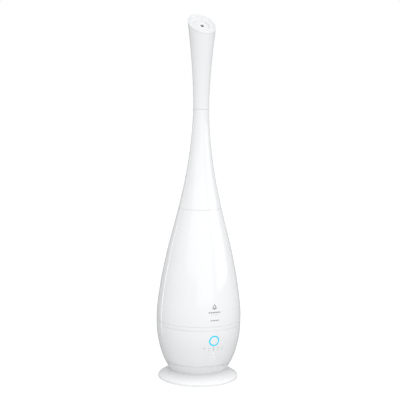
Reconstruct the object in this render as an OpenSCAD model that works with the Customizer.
// Cool mist humidifier: a slender vase on a flared round foot.
// The base holds the fan, the ultrasonic disc and the controls. The tank, the neck and the
// slanted mouth stack on top of it, and mist rises through one straight duct on the axis.
// Millimetres. Z is up, the floor is z = 0, and the control panel faces -Y.

/* [Vase outline] */
// Height of the seam between foot and collar
seat_z = 25; // [24:0.5:26]
// Radius where the collar meets the foot
seat_r = 72.4; // [71:0.2:74]
// Height of the seam between collar and housing
collar_z = 48; // [46:1:50]
// Radius at the collar seam
collar_r = 85.2; // [84:0.2:87]
// Greatest radius of the vase
belly_r = 106; // [105.6:0.2:107]
// Height of the greatest radius
belly_z = 158; // [156:1:160]
// Height of the seam between tank and neck
tank_top_z = 434; // [432:1:436]
// Radius at the seam between tank and neck
shoulder_r = 53.6; // [53:0.2:55]
// Smallest radius of the neck
waist_r = 19.7; // [19.6:0.1:20.2]
// Height of the smallest radius
waist_z = 690; // [684:1:696]
// Radius of the trumpet on the axis of its slanted mouth
mouth_r = 35; // [34.5:0.1:35.5]

/* [Seams] */
// Height of the housing's top edge
base_top_z = 143; // [142.5:0.5:143.5]
// Height of the seam between the tank's bottom and its shell
tank_seam_z = 152; // [151.5:0.5:152.5]
// Height of the seam below the trumpet
trumpet_z = 679; // [678:0.5:680]
// Width of each seam's gap
seam_gap = 0.6; // [0.4:0.1:0.8]

/* [Mouth] */
// Height of the mouth's rim plane on the axis
mouth_z = 886.5; // [884:0.5:889]
// Tilt of the mouth towards the front, in degrees
mouth_tilt = 34.5; // [32:0.5:37]
// Radius of the mist outlet
outlet_r = 5.5; // [5:0.1:6]

/* [Foot] */
// Outer radius of the foot
foot_r = 100.6; // [100:0.2:101]
// Height of the foot's rim
foot_rim_h = 6.4; // [6:0.2:7]
// Standing height of the rubber pads below the rim
pad_lift = 2; // [1.6:0.2:2.4]

/* [Controls] */
// Height of the ring on the panel
ring_z = 117; // [116:0.5:118]
// Outer radius of the light ring
ring_r = 13.4; // [13:0.1:13.6]
// Width of the light ring
ring_w = 3; // [2.4:0.1:3.2]
// Height of the row of touch keys
key_z = 97.5; // [96:0.5:98]
// Distance between touch keys
key_pitch = 12; // [11:0.5:12]
// Height of the status lamp
lamp_z = 84.5; // [84:0.5:86]
// Height of the power key
power_key_z = 71.5; // [71:0.5:72]

/* [Tank and ducts] */
// Wall thickness of the outer shells
wall = 2.6; // [2.4:0.1:2.8]
// Inner radius of the mist chimney
chimney_r = 15; // [15:0.1:15.2]
// Inner radius of the mist tube in the neck
neck_tube_r = 12; // [11.6:0.1:12]
// Radius of the tank's fill opening
fill_r = 47; // [46.6:0.1:47.2]
// Distance of the valve from the axis
valve_x = 46; // [45:0.5:46]
// Travel of the valve's plunger
valve_travel = 3.8; // [3:0.1:3.8]

/* [Basin] */
// Inner radius of the basin
basin_r = 74; // [73.5:0.1:74]
// Height of the basin's floor
basin_z = 100.5; // [100:0.1:100.5]
// Distance of the air snorkel from the axis
snorkel_x = 52; // [51:0.5:52]
// Distance of the level float from the axis
float_y = 50; // [49:0.5:50]

/* [Fan] */
// Side of the square fan frame
fan_w = 50; // [50:0.5:50]
// Distance of the fan from the axis
fan_x = 34; // [33:0.5:34]
// Number of fan blades
fan_blades = 7; // [5:1:9]

/* [Hidden] */

FN = 96;
step = 9;
eps = 0.01;
big = 400;
gap = seam_gap / 2;
shell_white = [0.95, 0.955, 0.96];
inner_white = [0.88, 0.89, 0.9];
rubber_grey = [0.35, 0.36, 0.37];
board_green = [0.12, 0.36, 0.22];

// ---------- outline of the vase: a smooth curve through these [height, radius] stations
stations = [
    [seat_z, seat_r],
    [collar_z, collar_r],
    [98, 101.1],
    [belly_z, belly_r],
    [235, 98.3],
    [320, 82.1],
    [tank_top_z, shoulder_r],
    [520, 35.5],
    [600, 24.5],
    [waist_z, waist_r],
    [780, 23.7],
    [865, 32.1],
    [925, 32.1 + (mouth_r - 32.1) * 2.75]
];
last = len(stations) - 1;

function rise(i) = stations[i + 1][0] - stations[i][0];
function chord(i) = (stations[i + 1][1] - stations[i][1]) / rise(i);
function inner_slope(i) =
    (rise(i - 1) * chord(i) + rise(i) * chord(i - 1)) / (rise(i - 1) + rise(i));
function slope(i) =
    i == 0 ? 2 * chord(0) - inner_slope(1)
    : i == last ? 2 * chord(last - 1) - inner_slope(last - 1)
    : inner_slope(i);
function span_of(z, i = 0) =
    (i >= last - 1 || z < stations[i + 1][0]) ? i : span_of(z, i + 1);
function hermite(i, t) =
    (2 * t ^ 3 - 3 * t ^ 2 + 1) * stations[i][1]
    + (t ^ 3 - 2 * t ^ 2 + t) * rise(i) * slope(i)
    + (3 * t ^ 2 - 2 * t ^ 3) * stations[i + 1][1]
    + (t ^ 3 - t ^ 2) * rise(i) * slope(i + 1);
function outline(z) = let (i = span_of(z)) hermite(i, (z - stations[i][0]) / rise(i));

// Points of the outline from z0 to z1, drawn in by inset.
function run(z0, z1, inset) =
    let (n = max(1, ceil(abs(z1 - z0) / step)))
    [for (k = [0:n]) let (z = z0 + (z1 - z0) * k / n) [outline(z) - inset, z]];

// ---------- plain shapes
module disc(r, z0, z1) translate([0, 0, z0]) cylinder(r = r, h = z1 - z0, $fn = FN);

module ring(ri, ro, z0, z1) difference() {
    disc(ro, z0, z1);
    disc(ri, z0 - 1, z1 + 1);
}

module block(x0, x1, y0, y1, z0, z1)
    translate([x0, y0, z0]) cube([x1 - x0, y1 - y0, z1 - z0]);

module skin(z0, z1, thick)
    rotate_extrude($fn = FN) polygon(concat(run(z0, z1, 0), run(z1, z0, thick)));

module body_of_outline(z0, z1, inset = 0)
    rotate_extrude($fn = FN) polygon(concat([[0, z0]], run(z0, z1, inset), [[0, z1]]));

// A cylinder along Y from y0 to y1.
module rod_y(r, x, z, y0, y1)
    translate([x, y0, z]) rotate([-90, 0, 0]) cylinder(r = r, h = y1 - y0, $fn = FN);

module four(x, y) for (sx = [-1, 1], sy = [-1, 1]) translate([sx * x, sy * y, 0]) children();

module screw(head_r, head_h, shank_r, shank_h) {
    difference() {
        cylinder(r = head_r, h = head_h, $fn = 32);
        for (a = [0, 90])
            rotate([0, 0, a]) block(-head_r * 0.6, head_r * 0.6, -0.35, 0.35, -1, head_h * 0.5);
    }
    translate([0, 0, head_h]) cylinder(r = shank_r, h = shank_h, $fn = 32);
}

// ---------- foot: a straight cone from the collar out to a round rim
rim_r = foot_rim_h / 2;
rim_z = pad_lift + rim_r;
web_z = seat_z - 3;
hollow_r = 65;
pad_at = 57;
post_at = 37;
intake_r = 22;

module foot_plate() color(shell_white) difference() {
    union() {
        rotate_extrude($fn = FN) polygon(concat(
            [[0, seat_z], [seat_r, seat_z], [foot_r - rim_r, pad_lift + foot_rim_h]],
            [for (a = [60:-30:-90]) [foot_r - rim_r + rim_r * cos(a), rim_z + rim_r * sin(a)]],
            [[foot_r - rim_r - 3, pad_lift], [foot_r - rim_r - 6, pad_lift + 3.2],
             [84, 7], [76, 9.5], [70, 17], [68.5, web_z], [0, web_z]]
        ));
        ring(62.4, hollow_r, pad_lift + 1, web_z + 1);
        four(pad_at, pad_at) disc(8.5, pad_lift + 1, pad_lift + 9);
        four(post_at, post_at) disc(5, web_z - 1, web_z + 1);
    }
    translate([-fan_x, 0, 0]) disc(intake_r + 1.5, web_z - 5, seat_z + 1);
    four(post_at, post_at) disc(1.7, web_z - 5, seat_z + 1);
    four(pad_at, pad_at) disc(2.6, 0, pad_lift + 5);
}

module foot_pads() color(inner_white) four(pad_at, pad_at) {
    disc(7.5, 0, pad_lift + 1);
    disc(2.5, pad_lift, pad_lift + 4.6);
}

module intake_cover() color(inner_white) difference() {
    disc(62.1, pad_lift + 1, pad_lift + 3.4);
    for (x = [-49:7:49])
        for (s = [-1, 1])
            let (reach = sqrt(54 ^ 2 - x ^ 2))
                block(x - 1.5, x + 1.5, min(s * 3, s * reach), max(s * 3, s * reach), 0, 9);
}

module intake_filter() color([0.3, 0.31, 0.32]) disc(60, pad_lift + 3.6, pad_lift + 9);

// ---------- base pan and housing
floor_z = seat_z + 2.5;
board_z = floor_z + 5.5;
board_x0 = 6;
board_x1 = 60;
board_y = 30;
hole_x = (board_x1 - board_x0) / 2 - 4;
hole_y = board_y - 4;
board_mid = (board_x0 + board_x1) / 2;
lip_r = collar_r - wall - 0.3;

module board_corners() translate([board_mid, 0, 0]) four(hole_x, hole_y) children();

module guard_slots() for (r = [7, 13, 19]) ring(r, r + 3.4, seat_z - 1, floor_z + 1);

module base_pan() color(shell_white) difference() {
    union() {
        skin(seat_z, collar_z - gap, wall);
        body_of_outline(seat_z, floor_z);
        ring(lip_r - 2, lip_r, collar_z - 4, collar_z + 4);
        ring(lip_r - 2, collar_r - 1, collar_z - 4, collar_z - 2);
        board_corners() disc(3, floor_z - 1, board_z);
    }
    translate([-fan_x, 0, 0]) difference() {
        guard_slots();
        for (a = [45, 135])
            rotate([0, 0, a]) block(-30, 30, -1.5, 1.5, 0, 40);
    }
    board_corners() disc(1.3, floor_z + 1, board_z + 1);
    four(post_at, post_at) disc(1.7, seat_z - 1, floor_z + 1);
    translate([-fan_x, 0, 0]) four(20, 20) disc(1.1, seat_z + 1, floor_z + 1);
}

inlet_z = 70;
inlet_w = 26;
inlet_h = 16;
inlet_face = 88.5;
tray_flange_z = base_top_z - 5;
control_y = 80;
control_x = 24;
control_z0 = 66;
control_z1 = 128;

module inlet_tunnel(grow, y0, y1)
    block(-inlet_w / 2 - grow, inlet_w / 2 + grow, y0, y1,
          inlet_z - inlet_h / 2 - grow, inlet_z + inlet_h / 2 + grow);

module base_housing() color(shell_white) difference() {
    union() {
        skin(collar_z + gap, base_top_z - gap, wall);
        ring(97, outline(tray_flange_z) - 1.5, tray_flange_z - 3, tray_flange_z - 0.1);
        intersection() {
            body_of_outline(collar_z + gap, base_top_z - gap, 1);
            union() {
                difference() {
                    inlet_tunnel(2, 80, 110);
                    inlet_tunnel(0.2, 70, 120);
                }
                for (x = [-control_x, control_x], z = [control_z0 + 4, control_z1 - 4])
                    rod_y(3, x, z, -110, -control_y - 1.7);
            }
        }
    }
    inlet_tunnel(0.2, 70, 120);
    rod_y(ring_r + 0.1, 0, ring_z, -120, -90);
    rod_y(1.7, 0, lamp_z, -120, -80);
    for (x = [-control_x, control_x], z = [control_z0 + 4, control_z1 - 4])
        rod_y(1.1, x, z, -control_y - 8, -control_y);
}

// ---------- basin
well_r = 20;
well_z = basin_z - 10.5;
snorkel_r = 10;
pin_top_z = 123.7;
post_foot_z = floor_z + 0.2;
float_post_z = 134;

module basin_tray() color(inner_white) difference() {
    union() {
        ring(basin_r, basin_r + 2.4, basin_z - 2.5, tray_flange_z + 2.5);
        ring(basin_r + 1, 102, tray_flange_z, tray_flange_z + 2.5);
        disc(basin_r + 1, basin_z - 2.5, basin_z);
        disc(well_r + 2.4, well_z - 2, basin_z - 1);
        translate([-snorkel_x, 0, 0]) disc(snorkel_r + 2.4, basin_z - 20.5, 138);
        translate([0, float_y, 0]) disc(3, basin_z - 1, 130);
        translate([0, float_y, 0]) disc(2, 129, float_post_z);
        translate([0, float_y, 0]) disc(5, basin_z - 1, basin_z + 0.8);
        translate([valve_x, 0, 0]) disc(3, basin_z - 1, pin_top_z);
        four(post_at, post_at) disc(4.5, post_foot_z, basin_z - 1);
    }
    disc(well_r, well_z, basin_z + 1);
    disc(12, well_z - 5, well_z + 1);
    translate([-snorkel_x, 0, 0]) disc(snorkel_r, basin_z - 30, 145);
    four(post_at, post_at) disc(1.6, post_foot_z - 1, post_foot_z + 14);
}

module tank_gasket() color(rubber_grey)
    ring(84, 89, tray_flange_z + 2.5, tray_flange_z + 3.8);

guard_r = 25;
guard_lip_r = 20.3;
guard_wall = 1.8;
guard_top_z = 136.5;
guard_bend_z = 127;

module splash_guard() color(inner_white) difference() {
    rotate_extrude($fn = FN) polygon([
        [guard_r - guard_wall, basin_z + 0.1], [guard_r, basin_z + 0.1],
        [guard_r, guard_bend_z], [guard_lip_r, guard_top_z],
        [guard_lip_r - guard_wall, guard_top_z], [guard_lip_r - guard_wall, guard_top_z - 1],
        [guard_r - guard_wall, guard_bend_z - 0.6]
    ]);
    for (a = [22.5:45:359])
        rotate([0, 0, a]) block(guard_r - 5, guard_r + 5, -4, 4, basin_z + 2, basin_z + 11);
}

module transducer_disc() color([0.8, 0.8, 0.78]) disc(10, well_z - 1.5, well_z - 0.6);

module transducer_seal() color(rubber_grey) rotate_extrude($fn = FN) polygon([
    [8.6, well_z - 2], [11.9, well_z - 2], [11.9, well_z + 0.4], [8.6, well_z + 0.4],
    [8.6, well_z - 0.5], [10.1, well_z - 0.5], [10.1, well_z - 1.6], [8.6, well_z - 1.6]
]);

module transducer_holder() color([0.75, 0.76, 0.78]) difference() {
    union() {
        ring(8, 18, well_z - 5.5, well_z - 2.1);
        for (a = [60, 180, 300])
            rotate([0, 0, a]) translate([18, 0, 0]) disc(4, well_z - 5.5, well_z - 2.1);
    }
    for (a = [60, 180, 300])
        rotate([0, 0, a]) translate([18, 0, 0]) disc(1.4, well_z - 9, well_z + 1);
}

module float_retainer() color(inner_white)
    translate([0, float_y, 0]) ring(2.05, 5.5, 130.1, 133);

module reed_sensor() color([0.15, 0.15, 0.16])
    block(-5, 5, float_y + 5, float_y + 11, basin_z - 7, basin_z - 2.6);

// ---------- level float
module level_float() color([0.92, 0.93, 0.94]) translate([0, float_y, 0]) difference() {
    rotate_extrude($fn = FN) polygon([
        [3.4, 101.6], [9.6, 101.6], [11, 103], [11, 114], [9.6, 115.5], [3.4, 115.5]
    ]);
    ring(4.4, 8.2, 100, 106);
}

module float_magnet() color([0.25, 0.25, 0.27])
    translate([0, float_y, 0]) ring(4.6, 8, 101.8, 105.8);

// ---------- fan
fan_z = floor_z + 0.2;
fan_h = 15;
bore_r = 23.5;
hub_r = 12;
shaft_r = 1.5;

module at_fan() translate([-fan_x, 0, 0]) children();

module fan_frame() color([0.13, 0.13, 0.14]) at_fan() difference() {
    union() {
        difference() {
            block(-fan_w / 2, fan_w / 2, -fan_w / 2, fan_w / 2, fan_z, fan_z + fan_h);
            disc(bore_r, fan_z - 1, fan_z + fan_h + 1);
        }
        disc(hub_r + 0.5, fan_z + fan_h - 2, fan_z + fan_h);
        for (a = [45, 135])
            rotate([0, 0, a])
                block(-bore_r - 1, bore_r + 1, -1.5, 1.5, fan_z + fan_h - 2, fan_z + fan_h);
    }
    four(20, 20) disc(1.6, fan_z - 1, fan_z + fan_h + 1);
}

module fan_motor() color([0.7, 0.42, 0.2]) at_fan()
    ring(shaft_r + 0.05, 9.4, fan_z + 4.5, fan_z + fan_h - 2.1);

module fan_impeller() color([0.16, 0.16, 0.17]) at_fan() {
    difference() {
        disc(hub_r, fan_z + 1.2, fan_z + 12);
        disc(hub_r - 1.6, fan_z + 3, fan_z + 13);
    }
    disc(shaft_r, fan_z + 2, fan_z + fan_h - 2.4);
    intersection() {
        ring(hub_r - 0.8, bore_r - 1, fan_z + 1.5, fan_z + 11.5);
        for (k = [0:fan_blades - 1])
            rotate([0, 0, k * 360 / fan_blades]) translate([17, 0, fan_z + 6.5])
                rotate([40, 0, 0]) cube([16, 1.2, 20], center = true);
    }
}

duct_z = fan_z + fan_h + 0.1;
duct_top_z = 70;

module hood(grow, z0, z1) hull() {
    at_fan() translate([0, 0, z0]) cylinder(r = bore_r - 0.9 + grow, h = 0.1, $fn = 32);
    translate([-snorkel_x, 0, z1 - 0.1])
        cylinder(r = snorkel_r + 0.6 + grow, h = 0.1, $fn = 32);
}

module air_duct() color(inner_white) difference() {
    union() {
        at_fan() block(-fan_w / 2, fan_w / 2, -fan_w / 2, fan_w / 2, duct_z, duct_z + 2);
        hood(1.8, duct_z + 1, duct_top_z);
        translate([-snorkel_x, 0, 0]) disc(snorkel_r + 4.4, duct_top_z - 4, duct_top_z + 16);
    }
    hood(0, duct_z - 0.5, duct_top_z + 0.1);
    at_fan() disc(bore_r - 0.9, duct_z - 1, duct_z + 0.5);
    translate([-snorkel_x, 0, 0]) disc(snorkel_r + 2.6, duct_top_z, duct_top_z + 20);
    at_fan() four(20, 20) disc(1.6, duct_z - 1, duct_z + 3);
}

// ---------- electronics
top_z = board_z + 1.6;

module power_board() color(board_green) difference() {
    block(board_x0, board_x1, -board_y, board_y, board_z, top_z);
    board_corners() disc(1.3, board_z - 1, top_z + 1);
}

module power_components() color([0.2, 0.2, 0.22]) {
    block(30, 48, -20, -2, top_z, top_z + 15);
    block(34, 44, 4, 18, top_z, top_z + 9);
    translate([18, -22, 0]) disc(4.5, top_z, top_z + 13);
    translate([18, -10, 0]) disc(4, top_z, top_z + 11);
    translate([22, 20, 0]) ring(2.5, 5.5, top_z, top_z + 5);
    block(50, 57, -15, 15, top_z, top_z + 8);
    block(8, 13, -8, 8, top_z, top_z + 6);
}

module heatsink() color([0.75, 0.76, 0.78]) {
    block(16, 28, 0, 12, top_z, top_z + 2);
    for (x = [16:2.5:27]) block(x, x + 1, 0, 12, top_z + 1, top_z + 18);
}

module control_board() color(board_green) difference() {
    block(-control_x - 4, control_x + 4, -control_y - 1.6, -control_y, control_z0, control_z1);
    for (x = [-control_x, control_x], z = [control_z0 + 4, control_z1 - 4])
        rod_y(1.3, x, z, -control_y - 5, -control_y + 5);
}

module touch_electrodes() color([0.75, 0.7, 0.4]) intersection() {
    body_of_outline(60, 140, wall + 0.1);
    union() {
        for (k = [-2:2]) rod_y(3.2, k * key_pitch, key_z, -110, -control_y - 1.6);
        rod_y(4, 0, power_key_z, -110, -control_y - 1.6);
    }
}

module light_ring() color([0.45, 0.9, 1]) intersection() {
    body_of_outline(60, 142);
    difference() {
        rod_y(ring_r, 0, ring_z, -110, -control_y - 1.7);
        rod_y(ring_r - ring_w, 0, ring_z, -120, -control_y);
    }
}

module display_window() color([0.93, 0.94, 0.95]) intersection() {
    body_of_outline(60, 142);
    rod_y(ring_r - ring_w - 0.1, 0, ring_z, -110, -99);
}

module display_module() color([0.1, 0.1, 0.12])
    block(-7, 7, -98.5, -control_y - 1.7, ring_z - 6, ring_z + 6);

module status_lens() color([0.98, 0.98, 1]) intersection() {
    body_of_outline(60, 142);
    rod_y(1.6, 0, lamp_z, -110, -control_y - 1.7);
}

// ---------- mains inlet: two round pins in a flat-sided recess
pin_x = 4.3;

module mains_inlet() color([0.12, 0.12, 0.13]) difference() {
    inlet_tunnel(0, 66, inlet_face);
    for (s = [-1, 1]) rod_y(4.1, s * pin_x, inlet_z, inlet_face - 11.5, inlet_face + 1);
    block(-pin_x, pin_x, inlet_face - 11.5, inlet_face + 1, inlet_z - 4.1, inlet_z + 4.1);
    for (s = [-1, 1]) rod_y(1.2, s * pin_x, inlet_z, 60, inlet_face);
}

module inlet_pins() color([0.8, 0.8, 0.8])
    for (s = [-1, 1]) rod_y(1.2, s * pin_x, inlet_z, 63, inlet_face - 1.5);

// ---------- fasteners
module base_screws() color([0.7, 0.7, 0.72])
    four(post_at, post_at) translate([0, 0, web_z - 3.2]) screw(3.2, 2.1, 1.5, 16);

module board_screws() color([0.7, 0.7, 0.72]) {
    board_corners() translate([0, 0, top_z + 1.7]) mirror([0, 0, 1]) screw(2.3, 1.6, 1.1, 5);
    for (x = [-control_x, control_x], z = [control_z0 + 4, control_z1 - 4])
        translate([x, -control_y + 1.7, z]) rotate([90, 0, 0]) screw(2.3, 1.6, 1, 7);
}

module fan_screws() color([0.7, 0.7, 0.72]) at_fan()
    four(20, 20) translate([0, 0, duct_z + 3.9]) mirror([0, 0, 1]) screw(2.6, 1.8, 1, 18.3);

// ---------- wires: a round tube swept along a few points
// Points between p[i] and p[i + 1] on a smooth curve through the whole list.
function pick(p, i) = p[max(0, min(len(p) - 1, i))];
function bend(p, i, t) =
    0.5 * (2 * p[i]
           + (pick(p, i + 1) - pick(p, i - 1)) * t
           + (2 * pick(p, i - 1) - 5 * p[i] + 4 * pick(p, i + 1) - pick(p, i + 2)) * t ^ 2
           + (3 * p[i] - pick(p, i - 1) - 3 * pick(p, i + 1) + pick(p, i + 2)) * t ^ 3);
function smooth(p, n) = concat(
    [for (i = [0:len(p) - 2], k = [0:n - 1]) bend(p, i, k / n)], [p[len(p) - 1]]);
function unit(v) = v / norm(v);
function heading(p, i) = unit(pick(p, i + 1) - pick(p, i - 1));
// The side vector that turns with the path: each is the last one, squared to the new heading.
function sides(p, i, before) =
    let (h = heading(p, i), s = unit(before - h * (before * h)))
    i == len(p) - 1 ? [s] : concat([s], sides(p, i + 1, s));

module tube(points, r, n = 8, first = [0.3, 1, 0.2]) {
    s = sides(points, 0, first);
    rings = [for (i = [0:len(points) - 1], k = [0:n - 1])
        let (h = heading(points, i), side = s[i], up = cross(h, side), a = k * 360 / n)
            points[i] + r * (cos(a) * side + sin(a) * up)];
    m = len(points);
    polyhedron(rings, concat(
        [[for (k = [0:n - 1]) k]],
        [[for (k = [n - 1:-1:0]) (m - 1) * n + k]],
        [for (i = [0:m - 2], k = [0:n - 1])
            [i * n + k, (i + 1) * n + k, (i + 1) * n + (k + 1) % n, i * n + (k + 1) % n]]
    ));
}

fan_route = [[-22, -26.5, 38], [-14, -30, 41], [-5, -26, 46], [2, -17, 48.5],
             [7.2, -10, 47.5], [9.5, -6, 44.5], [9.5, -6, 41]];
transducer_route = [[0, 12, 83.5], [0, 12, 76], [4, 10, 66], [9, 6, 56], [10.5, 3, 47],
                    [10.5, 3, 41]];
control_route = [[-10, -79, 74], [-10, -72, 74], [-8, -64, 70], [0, -52, 63], [8, -36, 58],
                 [11.5, -18, 55.5], [12, -7, 52], [11.3, -3, 47], [11, -1.5, 41.5]];
mains_route = [[4.3, 62.6, 70], [4.3, 56, 70], [10, 46, 66], [30, 34, 61], [48, 20, 56],
               [54, 8, 50], [54, 5, 46], [54, 5, 43.2]];
other_mains_route = [[-4.3, 62.6, 70], [-4.3, 56, 70], [2, 44, 66], [24, 28, 61],
                     [44, 10, 57], [53, -3, 51], [54, -5, 47], [54, -5, 43.2]];

module fan_lead() color([0.7, 0.15, 0.12]) tube(smooth(fan_route, 4), 1.1);
module transducer_lead() color([0.15, 0.25, 0.6]) tube(smooth(transducer_route, 4), 1.1);
module control_lead() color([0.55, 0.56, 0.58]) tube(smooth(control_route, 4), 1.3);
module mains_leads() {
    color([0.45, 0.28, 0.15]) tube(smooth(mains_route, 4), 1.2);
    color([0.15, 0.35, 0.65]) tube(smooth(other_mains_route, 4), 1.2);
}

// ---------- tank
tank_low_z = base_top_z + gap;
tank_mid_z = tank_seam_z - gap;
spout_r = 14.5;
spout_z = 134;
seat_face_z = 131.5;

module tank_base() color(shell_white) difference() {
    union() {
        skin(tank_low_z, tank_mid_z, 3.2);
        body_of_outline(tank_mid_z - 3, tank_mid_z, 1);
        ring(100.2, 102.9, tank_mid_z - 1, tank_mid_z + 5);
        ring(85, 88, tray_flange_z + 4, tank_mid_z - 2);
        ring(71, 73.4, 136, tank_mid_z - 2);
        translate([valve_x, 0, 0]) disc(spout_r + 2.5, spout_z, tank_mid_z - 1);
    }
    disc(chimney_r + 2.3, 100, tank_mid_z + 9);
    translate([valve_x, 0, 0]) disc(spout_r, 100, tank_mid_z + 9);
}

module tank_shell() color(shell_white) {
    skin(tank_seam_z + gap, tank_top_z - gap, wall);
    ring(fill_r, outline(tank_top_z - 3) - wall + 1, tank_top_z - gap - 3, tank_top_z - gap);
}

module mist_chimney() color(inner_white) difference() {
    union() {
        disc(chimney_r + 2, 139, tank_top_z + 12);
        disc(22, tank_mid_z + 1.1, tank_mid_z + 3.5);
    }
    disc(chimney_r, 130, tank_top_z + 20);
}

module chimney_seal() color(rubber_grey)
    ring(chimney_r + 2.2, 21.5, tank_mid_z + 0.05, tank_mid_z + 1.05);

module chimney_nut() color(inner_white) difference() {
    ring(chimney_r + 2.1, 21.5, 142.5, tank_mid_z - 3.1);
    for (a = [0:30:359]) rotate([0, 0, a]) translate([22.3, 0, 0]) disc(1.5, 140, 160);
}

// ---------- tank valve
cap_r = 19.4;
cap_low_z = 129;

module at_valve() translate([valve_x, 0, 0]) children();

module valve_cap() color(inner_white) at_valve() difference() {
    union() {
        ring(spout_r + 2.6, cap_r, cap_low_z, 146.5);
        disc(cap_r, cap_low_z, seat_face_z);
        for (a = [0:20:359])
            rotate([0, 0, a]) block(cap_r - 1, cap_r + 0.7, -0.8, 0.8, cap_low_z + 2, 145);
    }
    disc(6, 120, 140);
}

module cap_gasket() color(rubber_grey) at_valve()
    ring(spout_r + 0.1, spout_r + 2.5, seat_face_z + 0.1, spout_z - 0.1);

module valve_cage() color([0.85, 0.86, 0.87]) at_valve() difference() {
    union() {
        for (a = [30, 150, 270]) rotate([0, 0, a]) {
            block(2.6, 13, -1.2, 1.2, 143.6, 146);
            block(11, 13, -1.2, 1.2, seat_face_z, 146);
        }
        disc(4.2, 143.6, 146);
        ring(10.8, 13.4, seat_face_z, seat_face_z + 1);
    }
    disc(2.4, 140, 150);
}

head_z = 136.8;

module valve_spring() color([0.75, 0.75, 0.78]) at_valve() {
    turns = 3.5;
    per_turn = 12;
    low = head_z + 2.55;
    high = 143.1;
    tube([for (k = [0:turns * per_turn])
            let (a = k * 360 / per_turn)
                [5.6 * cos(a), 5.6 * sin(a), low + (high - low) * k / (turns * per_turn)]],
         0.4, 6, [1, 0, 0]);
}

module valve_plunger() color([0.9, 0.91, 0.92]) at_valve() {
    disc(2.1, pin_top_z + 0.3, 148);
    disc(8, head_z, head_z + 2);
}

module valve_seal() color(rubber_grey) at_valve()
    ring(2.2, 8.4, seat_face_z + valve_travel, head_z - 0.02);

// ---------- neck
tube_wall = 1.8;
tube_out = neck_tube_r + tube_wall;
spider_z = tank_top_z + 21;
plug_r = 17.2;
plug_fit = 0.06;
plug_z0 = trumpet_z - 17;
neck_low_z = tank_top_z + gap;
neck_high_z = trumpet_z - 0.4;

module neck_shell() color(shell_white) difference() {
    union() {
        skin(neck_low_z, neck_high_z, 2.4);
        ring(43.6, fill_r - 0.4, tank_top_z - 10, tank_top_z + 3);
        ring(43.6, outline(tank_top_z + 4) - 1, neck_low_z, neck_low_z + 2.8);
        ring(tube_out + 0.15, tube_out + 2.6, spider_z, spider_z + 6);
        intersection() {
            body_of_outline(spider_z, spider_z + 6, 1);
            for (a = [90, 210, 330])
                rotate([0, 0, a]) block(tube_out + 1, 60, -1.1, 1.1, spider_z, spider_z + 6);
        }
        difference() {
            body_of_outline(plug_z0 - 4, neck_high_z, 1);
            disc(tube_out + 0.5, plug_z0 - 5, neck_high_z + 1);
        }
    }
    disc(plug_r + plug_fit, plug_z0, neck_high_z + 1);
}

module neck_tube() color(inner_white) difference() {
    union() {
        disc(tube_out, tank_top_z - 2, trumpet_z - 3);
        disc(tube_out + 2.4, spider_z + 6.1, spider_z + 8);
    }
    disc(neck_tube_r, tank_top_z - 5, trumpet_z + 5);
}

module neck_seal() color(rubber_grey)
    ring(tube_out + 0.05, chimney_r - 0.1, tank_top_z + 2, tank_top_z + 7);

// ---------- swivel and trumpet
trumpet_low_z = trumpet_z + 0.9;

module swivel_collar() color(inner_white) difference() {
    union() {
        disc(plug_r, plug_z0 + 0.2, trumpet_z + 14);
        disc(waist_r - 0.6, trumpet_z - 0.2, trumpet_z + 0.6);
    }
    disc(tube_out + 0.6, plug_z0 - 1, trumpet_z + 20);
}

trumpet_wall = 2.2;
throat_z = trumpet_z + 16;

// Keeps what is below the slanted plane of the mouth, moved down by drop.
module below_mouth(drop = 0)
    translate([0, 0, mouth_z - drop]) rotate([mouth_tilt, 0, 0])
        translate([-big / 2, -big / 2, -big]) cube(big);

module trumpet() color(shell_white) intersection() {
    difference() {
        body_of_outline(trumpet_low_z, 925);
        disc(plug_r + plug_fit, trumpet_z - 5, throat_z);
        rotate_extrude($fn = FN) polygon(concat(
            [[0, throat_z - eps], [plug_r, throat_z - eps]],
            run(throat_z + 4, 925, trumpet_wall),
            [[outline(925) - trumpet_wall, 930], [0, 930]]
        ));
    }
    below_mouth();
}

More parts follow.
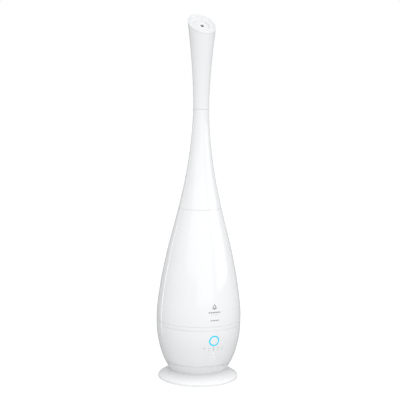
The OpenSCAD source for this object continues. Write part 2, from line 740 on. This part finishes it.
// The nozzle is a dish whose rings all lie parallel to the slanted mouth. Each ring is a share
// of the trumpet's inner radius at that angle, lowered by a depth below the rim plane.
tilt_rise = tan(mouth_tilt);
function reach(a, drop, r, n) =
    n == 0 ? r
    : reach(a, drop, outline(mouth_z - drop + tilt_rise * r * sin(a)) - trumpet_wall - 0.15,
            n - 1);
outlet_share = outlet_r / (mouth_r - trumpet_wall);
dish = [
    [1, 0.6], [0.975, 0.8], [0.94, 1.6], [0.88, 2.6], [0.78, 3.1], [0.68, 3], [0.625, 2.6],
    [0.605, 2.8], [0.595, 4], [0.585, 5.6], [0.55, 6.2], [0.42, 5.4], [0.26, 4],
    [outlet_share, 3.8], [outlet_share, 12], [outlet_share + 0.05, 12],
    [outlet_share + 0.05, 6.4], [0.45, 7.6], [0.6, 8.2], [0.64, 5.4], [0.86, 5.2], [1, 4.4]
];
dish_sides = 60;

module mist_nozzle() color(shell_white) {
    n = dish_sides;
    m = len(dish);
    points = [for (i = [0:m - 1], k = [0:n - 1])
        let (a = k * 360 / n, r = dish[i][0] * reach(a, dish[i][1], mouth_r, 6))
            [r * cos(a), r * sin(a), mouth_z - dish[i][1] + tilt_rise * r * sin(a)]];
    polyhedron(points, [for (i = [0:m - 1], k = [0:n - 1])
        let (j = (i + 1) % m, l = (k + 1) % n)
            [i * n + k, i * n + l, j * n + l, j * n + k]]);
}

// ---------- one line per node
foot_plate();
foot_pads();
intake_cover();
intake_filter();
base_pan();
base_housing();
basin_tray();
tank_gasket();
splash_guard();
transducer_disc();
transducer_seal();
transducer_holder();
float_retainer();
reed_sensor();
fan_frame();
fan_motor();
air_duct();
power_board();
power_components();
heatsink();
control_board();
touch_electrodes();
light_ring();
display_module();
display_window();
status_lens();
mains_inlet();
inlet_pins();
base_screws();
board_screws();
fan_screws();
fan_lead();
transducer_lead();
control_lead();
mains_leads();
fan_impeller();
level_float();
float_magnet();
tank_base();
tank_shell();
mist_chimney();
chimney_seal();
chimney_nut();
valve_cap();
cap_gasket();
valve_cage();
valve_spring();
valve_plunger();
valve_seal();
neck_shell();
neck_tube();
neck_seal();
swivel_collar();
trumpet();
mist_nozzle();
